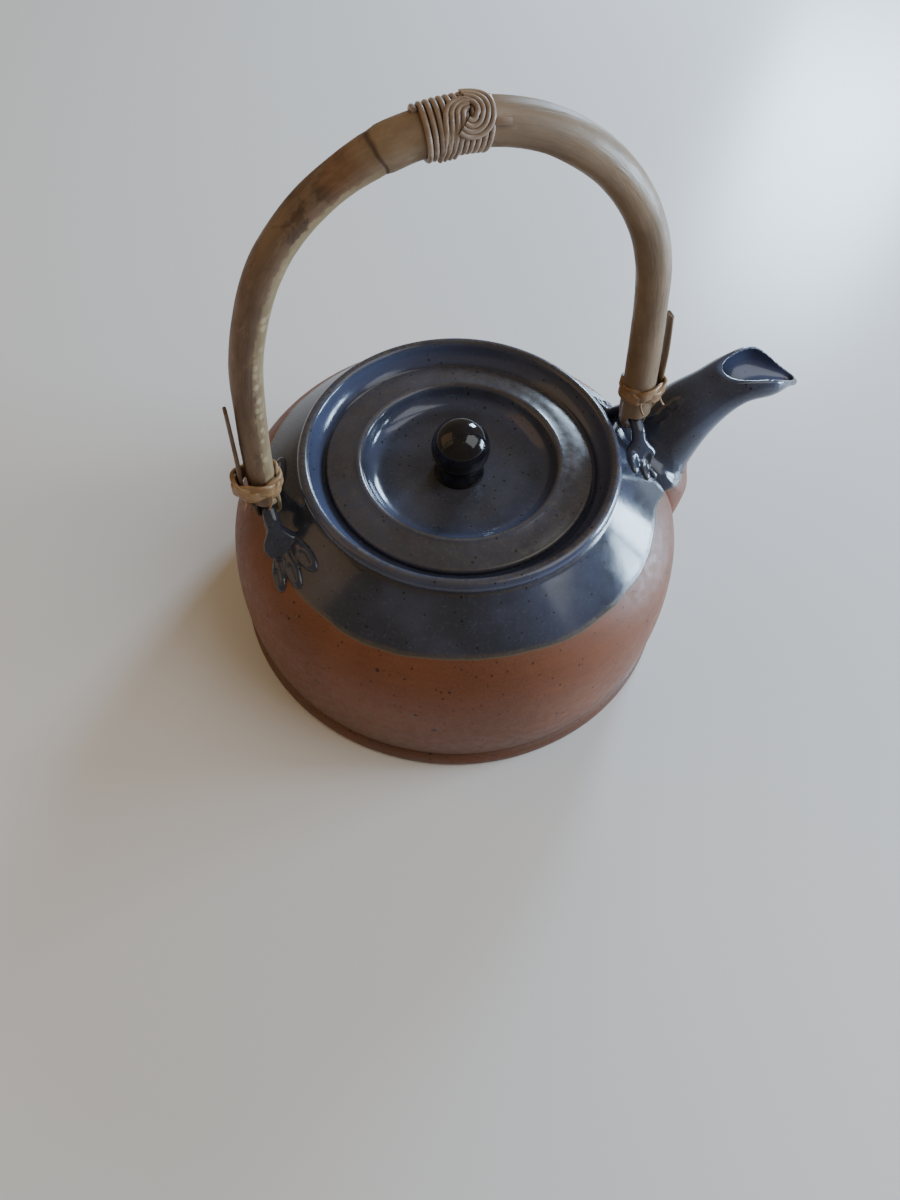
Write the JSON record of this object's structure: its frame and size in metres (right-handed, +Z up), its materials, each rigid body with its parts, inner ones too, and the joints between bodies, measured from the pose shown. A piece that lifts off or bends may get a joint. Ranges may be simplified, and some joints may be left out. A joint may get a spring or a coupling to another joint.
{
  "type": "teapot",
  "caption": "Round stoneware teapot with a drop-in lid, a beaked spout and a swinging cane bail handle tied to two pulled lugs with rattan.",
  "frame": {"origin": "centre of the foot, on the plane it rests on", "axes": "+Z up, +X towards the spout; the handle stands in the XZ plane"},
  "size_m": [0.2336, 0.18, 0.2174],
  "materials": {
    "stoneware": "satin",
    "blue_glaze": "gloss",
    "black_glaze": "gloss",
    "cane": "satin",
    "rattan": "satin",
    "dark_rattan": "satin"
  },
  "bodies": {
    "pot": {"pot_body": "stoneware", "spout": "blue_glaze", "lug_back": "blue_glaze", "lug_front": "blue_glaze"},
    "lid": {"lid": "blue_glaze", "lid_knob": "black_glaze"},
    "handle": {"handle_cane": "cane", "rattan_ring_back": "rattan", "rattan_ring_front": "rattan", "top_knot": "dark_rattan"}
  },
  "joints": [
    {"name": "lid_lift", "type": "slide", "parent": "pot", "child": "lid", "axis": [0, 0, 1], "range_m": [0, 0.06]},
    {"name": "handle_swing", "type": "hinge", "parent": "pot", "child": "handle", "pos_m": [0, 0, 0.0735], "axis": [1, 0, 0], "range_deg": [-45, 45]}
  ]
}
